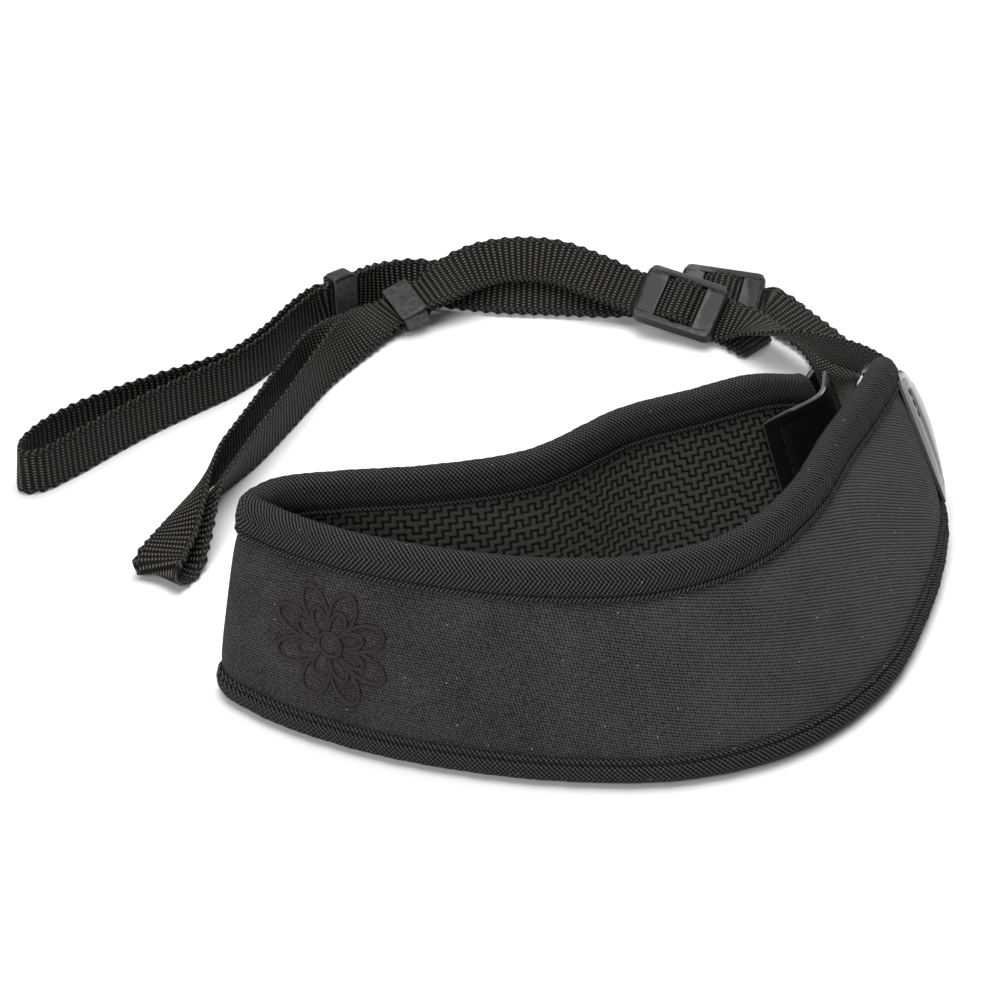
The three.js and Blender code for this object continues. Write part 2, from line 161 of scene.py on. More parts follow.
# Straps, one row per place: middle of the webbing, then the direction across it towards one edge.
# x, y, z, across x, across y, across z
FRONT_LEAD = [
    [119.2, 21.0, 25.0, -0.36, 0.05, 0.93],
    [115.5, 36.0, 22.8, -0.4, -0.05, 0.91],
    [108.8, 50.0, 19.0, -0.42, -0.15, 0.89],
    [100.8, 62.5, 14.8, -0.42, -0.32, 0.85],
    [92.2, 74.0, 11.6, -0.3, -0.78, 0.55],
    [84.0, 84.0, 9.0, -0.36, -0.92, 0.14],
    [79.6, 88.4, 8.2, -0.44, -0.86, -0.24],
]
FRONT_BAND = [
    [32.0, 109.2, 13.9, -0.22, -0.72, -0.66],
    [17.0, 115.3, 16.1, -0.06, -0.7, -0.71],
    [1.0, 115.8, 16.2, 0.04, -0.7, -0.71],
    [-10.0, 112.4, 15.0, 0.2, -0.7, -0.68],
    [-19.0, 107.8, 12.0, 0.3, -0.84, -0.45],
]
FRONT_LOOP = [
    [-40.6, 95.2, 5.9, 0.4, -0.89, -0.22],
    [-45.5, 86.0, 6.8, 0.34, -0.78, -0.52],
    [-55.4, 62.5, 7.9, 0.1, -0.28, -0.95],
    [-64.6, 37.6, 7.7, 0.0, 0.05, -1.0],
    [-72.6, 17.5, 7.7, -0.12, 0.05, -0.99],
    [-79.2, 3.0, 7.4, -0.38, 0.05, -0.92],
    [-84.2, -8.0, 7.0, -0.55, 0.2, -0.81],
    [-86.6, -17.0, 5.5, -0.74, 0.32, -0.59],
    [-89.0, -26.0, 3.4, -0.86, 0.46, -0.22],
    [-90.6, -33.6, 1.3, -0.84, 0.54, -0.02],
    [-93.4, -38.8, 1.8, -0.84, 0.54, 0.0],
    [-94.8, -41.2, 3.6, -0.84, 0.54, 0.0],
    [-95.2, -39.8, 5.4, -0.85, 0.53, -0.02],
    [-95.0, -36.0, 6.0, -0.86, 0.5, -0.06],
    [-92.4, -27.0, 6.6, -0.87, 0.42, -0.22],
    [-90.2, -16.5, 7.5, -0.74, 0.4, -0.52],
    [-87.6, -4.0, 8.0, -0.53, 0.2, -0.82],
    [-82.6, 9.0, 7.9, -0.12, 0.03, -0.99],
    [-75.2, 29.6, 7.7, 0.02, 0.04, -1.0],
    [-67.3, 53.2, 8.2, 0.0, -0.05, -1.0],
    [-60.0, 69.8, 7.8, 0.15, -0.35, -0.92],
    [-49.2, 86.2, 5.5, 0.34, -0.8, -0.5],
    [-41.4, 95.6, 3.7, 0.4, -0.89, -0.22],
]
FRONT_TAIL = [
    [84.0, 84.2, 1.3, -0.54, -0.84, -0.06],
]
BACK_LEAD = [
    [103.2, 8.0, 21.5, -0.05, 0.1, -0.99],
    [104.0, 26.0, 14.5, -0.34, 0.0, -0.94],
    [104.5, 45.0, 7.4, -0.7, 0.0, -0.71],
    [107.5, 64.0, 4.0, -0.91, 0.05, -0.4],
    [105.5, 82.0, 3.0, -0.93, -0.3, -0.2],
    [97.4, 95.0, 4.1, -0.68, -0.7, -0.22],
]
BACK_BAND = [
    [45.5, 112.0, 5.6, -0.12, -0.85, -0.5],
    [33.0, 110.0, 6.6, 0.0, -0.72, -0.69],
    [17.0, 111.4, 6.6, 0.0, -0.7, -0.71],
    [0.0, 112.6, 6.6, 0.02, -0.7, -0.71],
    [-15.0, 115.0, 6.9, 0.05, -0.66, -0.75],
    [-28.0, 117.4, 7.5, 0.1, -0.45, -0.89],
    [-39.5, 113.8, 8.1, 0.16, -0.22, -0.96],
]
BACK_LOOP = [
    [-60.3, 95.0, 8.9, 0.03, -0.03, -1.0],
    [-67.0, 84.4, 8.5, 0.0, 0.0, -1.0],
    [-73.6, 71.8, 7.7, 0.0, 0.0, -1.0],
    [-83.2, 58.2, 7.7, 0.0, 0.0, -1.0],
    [-94.0, 47.8, 7.7, 0.0, 0.0, -1.0],
    [-106.0, 36.4, 7.7, 0.0, 0.0, -1.0],
    [-117.5, 23.8, 7.7, 0.0, 0.0, -1.0],
    [-128.0, 11.6, 7.7, 0.0, 0.0, -1.0],
    [-135.6, 4.2, 7.7, -0.05, 0.0, -1.0],
    [-140.6, 3.6, 7.7, -0.1, 0.0, -0.99],
    [-142.2, 9.0, 7.7, -0.14, 0.02, -0.99],
    [-138.4, 18.0, 7.7, -0.08, 0.04, -0.99],
    [-131.0, 26.6, 7.7, 0.0, 0.0, -1.0],
    [-119.0, 37.0, 7.7, 0.0, 0.0, -1.0],
    [-105.6, 46.4, 7.7, 0.0, 0.0, -1.0],
    [-94.2, 53.2, 7.7, 0.0, 0.0, -1.0],
    [-83.6, 61.8, 7.7, 0.0, 0.0, -1.0],
    [-75.4, 74.4, 7.7, 0.0, 0.0, -1.0],
    [-69.0, 86.1, 8.5, 0.0, 0.0, -1.0],
    [-62.0, 96.8, 8.9, 0.03, -0.03, -1.0],
]
BACK_TAIL = [
    [98.5, 101.0, 2.3, -0.6, -0.78, -0.15],
]

# Sliders and keepers: middle, then turns in degrees.
# x, y, z, heading, climb, lean
SLIDER_FRONT = [59.2, 97.5, 10.3, -23, -7, 32.5]
SLIDER_BACK = [73.2, 109.1, 6.9, -17, 0, 20]
KEEPER_FRONT = [-31.0, 102.2, 7.0, 24, 19, 7]
KEEPER_BACK = [-52.4, 102.2, 9.7, 40, 0, 88]

# The layout's origin in the part's frame, from the keeper that both hold.
ORIGIN = np.array(KEEPER_BACK[:3]) - np.mean(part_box("keeper_back"), axis=0) / MM


def unit(v):
    """Directions of length one."""
    return v / np.linalg.norm(v, axis=-1, keepdims=True)


def distance_along(points):
    """Distance of each point of a run from its first."""
    return np.concatenate([[0], np.cumsum(np.linalg.norm(np.diff(points, axis=0), axis=1))])


def along_curve(points, share):
    """Places and slopes of the smooth centripetal curve through points, at shares from 0 to 1."""
    p = np.asarray(points, float)
    q = np.vstack([2 * p[0] - p[1], p, 2 * p[-1] - p[-2]])
    reach = np.sqrt(np.linalg.norm(np.diff(q, axis=0), axis=1))[:, None]
    d1 = np.where(reach[1:-1] < 1e-4, 1.0, reach[1:-1])
    d0 = np.where(reach[:-2] < 1e-4, d1, reach[:-2])
    d2 = np.where(reach[2:] < 1e-4, d1, reach[2:])
    p0, p1, p2, p3 = q[:-3], q[1:-2], q[2:-1], q[3:]
    t1 = ((p1 - p0) / d0 - (p2 - p0) / (d0 + d1) + (p2 - p1) / d1) * d1
    t2 = ((p2 - p1) / d1 - (p3 - p1) / (d1 + d2) + (p3 - p2) / d2) * d1
    c2 = 3 * (p2 - p1) - 2 * t1 - t2
    c3 = 2 * (p1 - p2) + t1 + t2
    x = np.clip(share, 0, 1) * (len(p) - 1)
    i = np.minimum(x.astype(int), len(p) - 2)
    w = (x - i)[:, None]
    place = p1[i] + w * (t1[i] + w * (c2[i] + w * c3[i]))
    slope = t1[i] + w * (2 * c2[i] + 3 * w * c3[i])
    return place, slope


def wall_at(line):
    """The pad's wall at lines along it: foot, direction up, height and outward direction."""
    rows = np.array(PAD_LINES)
    share = np.asarray(line, float) / (len(rows) - 1)
    foot, foot_slope = along_curve(rows[:, :3], share)
    top, top_slope = along_curve(rows[:, 3:], share)
    height = np.linalg.norm(top - foot, axis=1)
    rise = (top - foot) / height[:, None]
    out = unit(np.cross(unit(foot_slope) + unit(top_slope), rise))
    return foot, rise, height, out


# Lines along the pad at even distances, measured half way up it.
dense_lines = np.linspace(BACK_END, FRONT_END, 1200)
foot, rise, height, _ = wall_at(dense_lines)
middle = foot + rise * height[:, None] / 2
pad_run = distance_along(middle)
PAD_LENGTH = pad_run[-1]
PAD_HEIGHT = height.mean()


def line_at(distance):
    """Lines of the pad at distances along it."""
    return np.interp(distance, pad_run, dense_lines)


def on_pad(distance, up, outside):
    """Points on the pad by distance along it, height up it and distance outside its wall."""
    foot, rise, _, out = wall_at(line_at(distance))
    return foot + rise * up[:, None] + out * outside[:, None]


def seat(spec):
    """Axes of a plastic part: middle, along the webbing, across it and out of its face."""
    heading, climb, lean = (math.radians(a) for a in spec[3:])
    flat = math.cos(climb)
    along = np.array([flat * math.cos(heading), flat * math.sin(heading), math.sin(climb)])
    level = np.array([math.sin(heading), -math.cos(heading), 0])
    across = level * math.cos(lean) - np.cross(level, along) * math.sin(lean)
    return np.array(spec[:3], float), along, across, np.cross(across, along)


def run(places, count):
    """Smooth run through rows of middle and across: middle, across and face directions."""
    places = np.asarray(places, float)
    share = np.linspace(0, 1, count + 1)
    middle, slope = along_curve(places[:, :3], share)
    across, _ = along_curve(places[:, 3:], share)
    along = unit(slope)
    across = unit(across - along * np.sum(across * along, axis=1)[:, None])
    return middle, across, np.cross(across, along)


def strap_run(root_end, outwards, turned, lead, slider, band, keeper, loop, tail):
    """Even run of a whole strap: distance, middle, across and face."""
    foot, rise, height, _ = wall_at([root_end + outwards * d for d in (0.3, 0.65, 1)])
    root = np.hstack([foot + rise * height[:, None] / 2, rise * turned])
    middle, along, across, face = seat(slider)
    reach = SLIDER_LENGTH / 2 - SLIDER_BAR / 2
    rows = []
    for stop in SLIDER_STOPS:
        lift = WEAVE_MIDDLE + WEAVE * math.cos(math.pi * min(abs(stop) / reach, 1))
        rows.append([*(middle + along * stop + face * lift), *across])
    rows += band
    middle, along, across, face = seat(keeper)
    rows += [[*(middle + along * stop), *across] for stop in KEEPER_STOPS]
    middle, across, face = run(rows, len(rows) - 1)
    spread = np.full((len(rows), 1), LAYER)
    spread[0] *= 1.4
    there = np.hstack([middle - face * spread, across])
    back = np.hstack([middle + face * spread, across])[::-1]
    places = np.vstack([root, lead, there, loop, back, tail])
    middle, across, face = run(places, (len(places) - 1) * RUN_STEPS)
    return distance_along(middle), middle, across, face


def new_piece(name, bm, finish, slot, *nodes, smooth=None):
    """Finished object from a bmesh in millimetres of the layout, smooth up to an angle in degrees."""
    for v in bm.verts:
        v.co = [(c - o) * MM for c, o in zip(v.co, ORIGIN)]
    bmesh.ops.recalc_face_normals(bm, faces=bm.faces[:])
    mesh = bpy.data.meshes.new(name)
    bm.to_mesh(mesh)
    bm.free()
    mesh.shade_smooth()
    if smooth is not None:
        mesh.set_sharp_from_angle(angle=math.radians(smooth))
    mesh.materials.append(finish)
    piece = bpy.data.objects.new(name, mesh)
    bpy.context.scene.collection.objects.link(piece)
    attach(piece, "root")
    if nodes:
        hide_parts(*nodes)
    return piece


def wrapped(count_along, count_round, shape):
    """Grid rolled into a closed tube by shape(along share, round index), with capped ends."""
    bm = bmesh.new()
    bmesh.ops.create_grid(bm, x_segments=count_along, y_segments=count_round, size=0.5)
    flat = np.array([v.co[:2] for v in bm.verts]) + 0.5
    places, cloth = shape(flat[:, 0], np.rint(flat[:, 1] * count_round).astype(int) % count_round)
    layer = bm.verts.layers.float_vector.new("cloth")
    for v, p, c in zip(bm.verts, places.tolist(), (cloth * MM).tolist()):
        v.co = p
        v[layer] = c
    bmesh.ops.remove_doubles(bm, verts=bm.verts[:], dist=1e-4)
    bmesh.ops.holes_fill(bm, edges=[e for e in bm.edges if e.is_boundary], sides=0)
    return bm


def waves(position, pitch):
    """Cosine along a distance, one wave to each pitch."""
    return np.cos(TURN * position / pitch)


def webbing(name, spec, finish, node):
    """Woven webbing: ribs of weft with raised warp ends and scalloped selvages."""
    distance, middle, across, face = strap_run(*spec)
    length = distance[-1]
    count = int(length / (PICK / 4))
    half = WEB_WIDTH / 2
    columns = np.linspace(-half, half, int(WEB_WIDTH / END_SPACING * 2) + 1)
    round_x = np.concatenate([columns, columns[::-1]])
    sides = np.concatenate([np.ones(len(columns)), -np.ones(len(columns))])
    edge = half - np.abs(round_x)
    body = WEB / 2 * np.interp(edge, [0, 0.5, 1.0], [0.35, 0.85, 0.97])

    def shape(share, k):
        s = share * length
        x = round_x[k]
        row = np.rint(s / PICK)
        rib = 0.5 + 0.5 * waves(s, PICK)
        bead = 0.5 + 0.5 * np.cos(TURN * x / END_SPACING + math.pi * row)
        woven = BEAD_RELIEF * rib * bead + RIB_RELIEF * rib - WEAVE_DROP
        relief = np.where(edge[k] > SELVAGE, woven, SELVAGE_RELIEF * waves(s, 2 * PICK))
        scallop = np.where(edge[k] < 0.1, SCALLOP * waves(s, 2 * PICK), 0) * np.sign(x)
        at = [np.interp(s, distance, column) for column in np.hstack([middle, across, face]).T]
        m, a, f = np.array(at[:3]).T, np.array(at[3:6]).T, np.array(at[6:]).T
        lift = sides[k] * (body[k] + relief)
        return m + a * (x + scallop)[:, None] + f * lift[:, None], np.stack([s, x, lift], 1)

    piece = new_piece(name, wrapped(count, len(round_x), shape), finish, "webbing", node)
    length * MM
    return piece


def pad_tube(name, profile, step, finish, slot, *nodes, ripple=None):
    """Closed layer along the pad from a profile(height) of (outside, up) points."""
    count = int(PAD_LENGTH / step)
    section = profile(PAD_HEIGHT)
    round_way = distance_along(section)

    def shape(share, k):
        s = share * PAD_LENGTH
        _, _, height, _ = wall_at(line_at(s))
        outside = np.empty(len(s))
        up = np.empty(len(s))
        for h in np.unique(height):
            here = height == h
            table = profile(h)[k[here]]
            outside[here], up[here] = table[:, 0], table[:, 1]
        if ripple:
            outside = outside + ripple(s)
        return on_pad(s, up, outside), np.stack([s, round_way[k], outside], 1)

    return new_piece(name, wrapped(count, len(section), shape), finish, slot, *nodes)


def face_limits(height):
    """Heights between which the pad's face is seen, a little under both tapes."""
    return TAPE_LEG_FOOT - FACE_TUCK, height - TAPE_LEG_TOP + FACE_TUCK


def plump(share):
    """Distance outside the wall of the pad's face, by its share of the way up."""
    return FOAM_OUT + (FOAM_CROWN - FOAM_OUT) * (1 - np.abs(2 * share - 1) ** 5)


def foam_profile(height):
    """Section of the foam: plump outside between the bindings, flat inside."""
    share = np.linspace(0, 1, 25)
    low, high = face_limits(height)
    outer = np.stack([plump(share), low + (high - low) * share], 1)
    start = np.array([[FOAM_IN, 0], [FOAM_IN + 0.8, -0.9], [FOAM_OUT - 0.8, -0.9], [FOAM_OUT, 0]])
    end = np.array([[FOAM_OUT, height], [FOAM_OUT - 0.8, height + 0.9], [FOAM_IN + 0.8, height + 0.9],
                    [FOAM_IN, height]])
    back = np.stack([np.full(9, FOAM_IN), np.linspace(height, 0, 11)[1:-1]], 1)
    return np.vstack([start, outer, end, back])


def tape_profile(leg, top):
    """Section of a folded binding tape: plump legs, edges drawn down to the pad."""
    def build(height):
        out_leg = np.array([[FOAM_OUT + 0.6, leg + 0.35], [FOAM_OUT + 1.2, leg + 0.1],
                            [FOAM_OUT + 1.45, leg - 0.4], [FOAM_OUT + 1.3, leg - 0.9],
                            [FOAM_OUT + 0.55, leg - TAPE_GROOVE], [FOAM_OUT + 1.3, leg - 1.75],
                            [TAPE_OUT + 0.3, leg * 0.4], [TAPE_OUT + 0.2, leg * 0.15]])
        bend = np.radians(np.linspace(0, 180, 13))
        rim = np.stack([RIM_MIDDLE + RIM * np.cos(bend), -RIM * np.sin(bend)], 1)
        in_leg = out_leg[::-1] * [-1, 1]
        in_leg[:, 0] += TAPE_OUT + TAPE_IN
        outer = np.vstack([out_leg, rim, in_leg])
        core = RIM - TAPE
        inner = np.stack([RIM_MIDDLE - core * np.cos(bend), -core * np.sin(bend)], 1)
        inner = np.vstack([[RIM_MIDDLE - core, leg], inner, [RIM_MIDDLE + core, leg]])
        section = np.vstack([outer, inner])
        if top:
            section[:, 1] = height - section[:, 1]
        return section
    return build


def leather_tab(name, spec, end, side, bulge, pale, sewn, finish, node):
    """Leather tab with rounded edges, sewn over the pad's end and drawn in to the webbing."""
    start, tip, low_start, high_start, low_tip, high_tip = spec
    over = TAPE_OUT + GAP if side > 0 else GAP - TAPE_IN
    hug = WEB / 2 + 3 * GAP

    def spot(share, up_share, depth):
        line = start + (tip - start) * share
        past = (np.abs(line - start) - abs(end - start)) / (abs(tip - start) - abs(end - start))
        past = np.clip(past, 0, 1)
        past = past * past * (3 - 2 * past)
        foot, rise, height, out = wall_at(line)
        low = (low_start + (low_tip - low_start) * share) * height
        high = (high_start + (high_tip - high_start) * share) * height
        face = over + (hug - over) * past + TAB * depth * np.clip(0.5 + 3 * share, 0, 1)
        face = face - side * TAB_TUCK - TAB_TUCK * np.clip(1 - 4 * share, 0, 1)
        face = face + bulge * np.sin(math.pi * share) * np.sin(math.pi * up_share) ** 0.5
        seam = np.minimum(share * TAB_SPAN, np.minimum(up_share, 1 - up_share) * (high - low))
        pressed = SEAM_DEPTH * np.exp(-((seam - TAB_SEAM) / SEAM_WIDTH) ** 2)
        face = face - np.where(depth > 0.9, pressed, 0)
        up = low + (high - low) * up_share
        places = foot + rise * up[:, None] + out * (side * face)[:, None]
        return places, high - low, out * side

    bm = bmesh.new()
    bmesh.ops.create_grid(bm, x_segments=TAB_STEPS, y_segments=TAB_STEPS, size=0.5)
    bmesh.ops.solidify(bm, geom=bm.faces[:], thickness=1.0)
    rim = [e for e in bm.edges if e.calc_face_angle(0) > 1]
    bmesh.ops.bevel(bm, geom=rim, offset=0.012, offset_type="OFFSET", affect="EDGES", segments=3,
                    profile=0.5, material=-1)
    flat = np.array([v.co[:] for v in bm.verts])
    share, up_share = np.clip(flat[:, 0] + 0.5, 0, 1), np.clip(flat[:, 1] + 0.5, 0, 1)
    depth = (flat[:, 2] - flat[:, 2].min()) / np.ptp(flat[:, 2])
    places, tall, _ = spot(share, up_share, depth)
    edge = np.minimum(np.minimum(share, 1 - share), np.minimum(up_share, 1 - up_share))
    raw = np.clip(1 - edge / 0.004, 0, 1) * (depth < 0.96) * pale
    layer = bm.verts.layers.float_vector.new("cloth")
    for v, p, c in zip(bm.verts, places.tolist(), np.stack([raw, up_share, depth], 1).tolist()):
        v.co = p
        v[layer] = c
    piece = new_piece(name, bm, finish, "leather", node, smooth=50)
    ends, _, _ = spot(np.linspace(0, 1, 30), np.full(30, 0.5), np.ones(30))
    long = np.linalg.norm(np.diff(ends, axis=0), axis=1).sum()

    def seam(share):
        up = np.array([0.08, 0.09]) + 0.84 * (1 - (1 - share) * sewn / SEAM_STITCHES)
        ends, _, out = spot(np.full(2, TAB_SEAM / TAB_SPAN), up, np.full(2, 1.0))
        return ends.mean(0) + 0.1 * out[0], unit(ends[1] - ends[0]), out[0]

    stitch_row("stitches_" + name, sewn, seam, 2.4, 0.3, SEWING)


def moulded(name, node, spec, size, corner, edge, sunk, finish):
    """Moulded plastic part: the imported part's shape with rounded edges and round corners in plan."""
    middle, along, across, face = seat(spec)
    turn = np.stack([along, across, face])
    bm = bmesh.new()
    bm.from_mesh(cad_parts[node].data)
    bmesh.ops.remove_doubles(bm, verts=bm.verts[:], dist=1e-6)
    for v in bm.verts:
        v.co = turn @ (np.array(v.co) / MM + ORIGIN - middle)
    bmesh.ops.dissolve_limit(bm, angle_limit=math.radians(1), verts=bm.verts[:], edges=bm.edges[:])
    sharp = [e for e in bm.edges if e.calc_face_angle(0) > math.radians(40)]
    bmesh.ops.bevel(bm, geom=sharp, offset=edge, offset_type="OFFSET", affect="EDGES", segments=3,
                    profile=0.5, material=-1, clamp_overlap=True)
    # Painted highlight: each vertex is weighted by how sharply its edges turn, and the plastic's
    # shader paints that weight as a paler edge highlight.
    edge_highlight = bm.verts.layers.float.new("edge_highlight")
    for v in bm.verts:
        turned = max((e.calc_face_angle(0) for e in v.link_edges), default=0)
        v[edge_highlight] = min(1.0, turned / math.radians(25))
    half = np.array(size) / 2
    for axis in (0, 1):
        for sign in (-1, 1):
            for share in np.linspace(0, 0.9, 6):
                place, normal = np.zeros(3), np.zeros(3)
                place[axis] = sign * (half[axis] - corner * (1 - share))
                normal[axis] = 1
                everything = bm.verts[:] + bm.edges[:] + bm.faces[:]
                bmesh.ops.bisect_plane(bm, geom=everything, plane_co=place, plane_no=normal)
    for v in bm.verts:
        here = np.array(v.co)
        if sunk and here[2] > SLIDER_SHOULDER and np.all(np.abs(here[:2]) < half - SLIDER_RIM):
            here[2] -= sunk
            bar = half[0] - SLIDER_BAR
            if bar - LIP_INSIDE < abs(here[0]) < bar + LIP_OUTSIDE:
                here[0] -= np.sign(here[0]) * SLIDER_LIP
        past = np.abs(here[:2]) - (half - corner)
        if past.min() > 0:
            here[:2] = np.sign(here[:2]) * (half - corner + past * past.max() / np.hypot(*past))
        v.co = turn.T @ here + middle
    return new_piece(name, bm, finish, "plastic", node, smooth=40)


class Wire:
    """A shader socket that can be used in sums."""

    def __init__(self, finish, socket):
        self.finish = finish
        self.socket = socket

    def __add__(self, other):
        return self.finish.sum("ADD", self, other)

    def __sub__(self, other):
        return self.finish.sum("SUBTRACT", self, other)

    def __rsub__(self, other):
        return self.finish.sum("SUBTRACT", other, self)

    def __mul__(self, other):
        return self.finish.sum("MULTIPLY", self, other)

    __radd__ = __add__
    __rmul__ = __mul__


class Finish:
    """A material: one Principled shader and the nodes that feed it."""

    def __init__(self, name, **constants):
        self.material = bpy.data.materials.new(name)
        self.material.use_nodes = True
        self.tree = self.material.node_tree
        self.shader = self.tree.nodes["Principled BSDF"]
        for socket, value in constants.items():
            self.shader.inputs[socket.replace("_", " ")].default_value = value

    def node(self, kind, settings, sockets, output=0):
        """Any node, its settings first, then the values or links of its sockets."""
        made = self.tree.nodes.new(kind)
        for key, value in settings.items():
            setattr(made, key, value)
        for key, value in sockets.items():
            if isinstance(value, Wire):
                self.tree.links.new(value.socket, made.inputs[key])
            else:
                made.inputs[key].default_value = value
        return Wire(self, made.outputs[output])

    def sum(self, operation, *values):
        return self.node("ShaderNodeMath", {"operation": operation}, dict(enumerate(values)))

    def wave(self, turns):
        """Cosine from 0 to 1, one for each whole turn."""
        return self.sum("COSINE", turns * TURN) * 0.5 + 0.5

    def step(self, value, low, high):
        """Smooth rise from 0 at low to 1 at high."""
        settings = {"interpolation_type": "SMOOTHSTEP"}
        return self.node("ShaderNodeMapRange", settings, {0: value, 1: low, 2: high, 3: 0.0, 4: 1.0})

    def mix(self, mask, a, b):
        """Colour a where the mask is 0 and b where it is 1."""
        a, b = [c if isinstance(c, Wire) else (*c, 1) for c in (a, b)]
        return self.node("ShaderNodeMix", {"data_type": "RGBA"}, {0: mask, 6: a, 7: b}, 2)

    def cloth(self):
        """Distance along and across the piece's own cloth, in millimetres."""
        place = self.node("ShaderNodeAttribute", {"attribute_name": "cloth"}, {}, 1)
        parts = [self.node("ShaderNodeSeparateXYZ", {}, {0: place}, k) for k in range(3)]
        return [part * (1 / MM) for part in parts]

    def noise(self, size, detail=2.0):
        """Soft noise with features of a size in millimetres."""
        place = self.node("ShaderNodeTexCoord", {}, {}, 3)
        sockets = {"Vector": place, "Scale": 1 / (size * MM), "Detail": detail}
        return self.node("ShaderNodeTexNoise", {}, sockets)

    def specks(self, spacing, size, share):
        """Small round specks, one in so many cells."""
        place = self.node("ShaderNodeTexCoord", {}, {}, 3)
        sockets = {"Vector": place, "Scale": 1 / (spacing * MM)}
        near = self.node("ShaderNodeTexVoronoi", {}, sockets)
        cell = self.node("ShaderNodeTexVoronoi", {}, sockets, 1)
        pick = self.node("ShaderNodeSeparateXYZ", {}, {0: cell})
        disc = 1 - self.step(near, 0.6 * size / spacing, size / spacing)
        return disc * self.step(pick, 1 - share, 1 - share + 0.01)

    def feed(self, **wires):
        """Links to the shader's sockets; gives the finished material."""
        for socket, wire in wires.items():
            self.tree.links.new(wire.socket, self.shader.inputs[socket.replace("_", " ")])
        return self.material

    def bump(self, height, depth):
        """Relief of a depth in millimetres, for the shader's Normal."""
        sockets = {"Strength": 1.0, "Distance": depth * MM, "Height": height}
        return self.node("ShaderNodeBump", {}, sockets)


def knit_finish():
    """Fine dark jersey over the foam: courses along the pad, each of small stitches."""
    f = Finish("jersey", Roughness=0.92, Specular_IOR_Level=0.08)
    along, up, _ = f.cloth()
    turn = (along - PAD_LENGTH / 2) * (1 / CLOTH_BEND)
    reach = CLOTH_BEND - up
    straight = reach * f.sum("SINE", turn)
    level = CLOTH_BEND - reach * f.sum("COSINE", turn)
    course = f.wave(level * (1 / COURSE) + f.wave(straight * (1 / STITCH)) * 0.12)
    twill = f.wave(straight * (1 / COURSE) + level * 0.5)
    fuzz = f.noise(0.55, 3.0)
    lined = 0.2 + f.step(along, 0.55 * PAD_LENGTH, 0.85 * PAD_LENGTH) * 0.45
    height = course * lined + twill * 0.25 + fuzz * 0.85
    tone = f.step(height + f.noise(14.0, 1.0) * 0.2, 0.45, 1.15)
    colour = f.mix(tone, (0.008, 0.0072, 0.0076), (0.085, 0.078, 0.082))
    colour = f.mix(f.specks(2.6, 0.2, 0.28), colour, (0.42, 0.42, 0.41))
    return f.feed(Base_Color=colour, Normal=f.bump(height, 0.32))


def tape_finish():
    """Soft mesh tape: chevrons of fine cords with small dark holes between them."""
    f = Finish("binding_tape", Roughness=0.9, Specular_IOR_Level=0.08)
    along, round_way, _ = f.cloth()
    away = f.sum("ABSOLUTE", round_way - TAPE_RIDGE)
    cord = f.wave(along * (1 / TAPE_CORD) + away * (1 / TAPE_SLANT))
    other = f.wave(along * (1 / TAPE_CORD) - away * (1 / TAPE_SLANT))
    height = cord * 0.6 + other * 0.3 + f.noise(0.4, 2.0) * 0.35
    tone = f.step(height, 0.35, 1.0)
    colour = f.mix(tone, (0.003, 0.0025, 0.0027), (0.075, 0.069, 0.072))
    colour = f.mix(f.specks(3.0, 0.2, 0.2), colour, (0.4, 0.4, 0.39))
    return f.feed(Base_Color=colour, Normal=f.bump(height, 0.45))


def grip_finish():
    """Dark rubbery lining: raised bars in a basket weave, with painted shade in the grooves between
    them.
    """
    f = Finish("grip_rubber", Roughness=0.6, Specular_IOR_Level=0.15)
    _, _, raised = f.cloth()
    grain = f.noise(0.35, 2.0)
    # Painted shade: the colour darkens where the lining is not raised, standing in for shade in the
    # grooves.
    tone = f.step(raised + grain * 0.25, 0.25, 1.05)
    colour = f.mix(tone, (0.008, 0.008, 0.0066), (0.075, 0.075, 0.064))
    return f.feed(Base_Color=colour, Normal=f.bump(grain, 0.12))


def web_finish():
    """Nylon webbing: near black, with a painted sheen on the beads where the weft comes up and painted
    shade in the gaps between them.
    """
    f = Finish("nylon_webbing", Roughness=0.55, Specular_IOR_Level=0.1)
    along, across, _ = f.cloth()
    row = f.sum("ROUND", along * (1 / PICK))
    bead = f.wave(along * (1 / PICK)) * f.wave(across * (1 / END_SPACING) + row * 0.5)
    edge = f.step(f.sum("ABSOLUTE", across), WEB_WIDTH / 2 - 1.7, WEB_WIDTH / 2 - 1.3)
    slant = f.sum("ABSOLUTE", f.sum("ABSOLUTE", across) - (WEB_WIDTH / 2 - 0.75))
    braid = f.wave(along * (1 / PICK) + slant * 0.8)
    fibre = f.noise(0.25, 2.0)
    height = bead * (1 - edge) + braid * edge * 0.6
    # Painted sheen and shade: raised beads and braid are painted pale as a highlight, and the low gaps
    # between them near black as shade.
    tone = f.step(height + fibre * 0.35, 0.45, 1.1)
    colour = f.mix(tone, (0.0036, 0.0033, 0.0027), (0.135, 0.121, 0.104))
    return f.feed(Base_Color=colour, Normal=f.bump(height + fibre * 0.3, 0.22))


def leather_finish(name, gloss, coat):
    """Glossy black leather with a fine grain, greenish grey where the cut edge shows."""
    f = Finish(name, Specular_IOR_Level=gloss, Coat_Weight=coat, Coat_Roughness=0.2)
    raw, _, _ = f.cloth()
    grain = f.noise(0.7, 3.0)
    scuff = f.step(f.noise(5.0, 4.0), 0.6, 0.72)
    cut = f.step(raw * MM, 0.2, 0.6)
    colour = f.mix(cut, (0.0045, 0.0045, 0.005), (0.075, 0.08, 0.068))
    rough = 0.26 + grain * 0.12 + scuff * 0.12 + cut * 0.4
    return f.feed(Base_Color=colour, Roughness=rough, Normal=f.bump(grain, 0.1))


